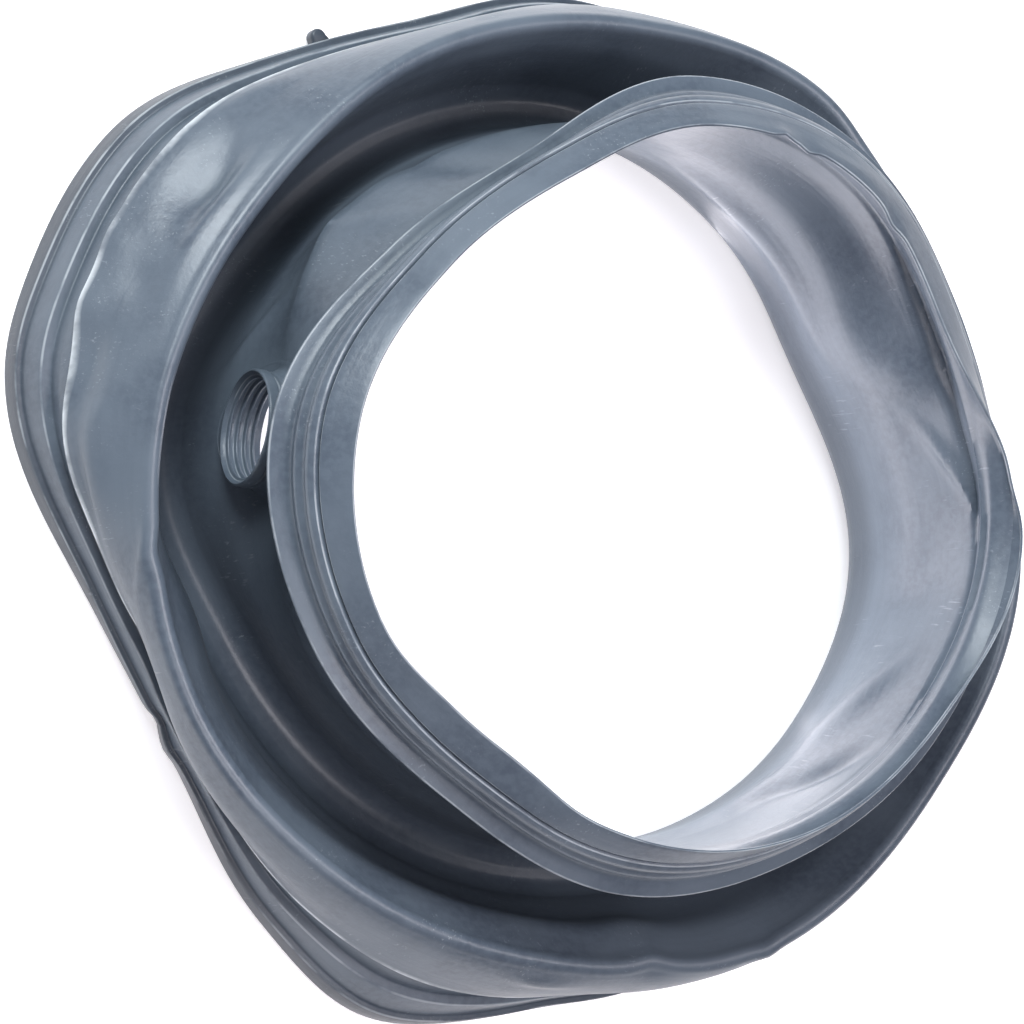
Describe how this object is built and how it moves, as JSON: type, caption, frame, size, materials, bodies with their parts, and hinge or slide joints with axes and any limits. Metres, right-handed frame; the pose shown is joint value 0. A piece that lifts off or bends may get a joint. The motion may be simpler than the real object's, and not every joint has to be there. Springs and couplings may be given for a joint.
{
  "type": "washing machine door seal",
  "caption": "Limp one-piece rubber bellows between a washer's tub and door, with a tub collar, door ring, lip and ribbed air duct.",
  "frame": {"origin": "middle of the footprint, on the flat foot of the tub collar", "axes": "+Z from the tub collar towards the door ring; the air duct stands out towards -X"},
  "size_m": [0.4076, 0.3942, 0.1142],
  "materials": {
    "grey_rubber": "satin"
  },
  "bodies": {
    "root": {"door_seal": "grey_rubber"}
  },
  "joints": []
}
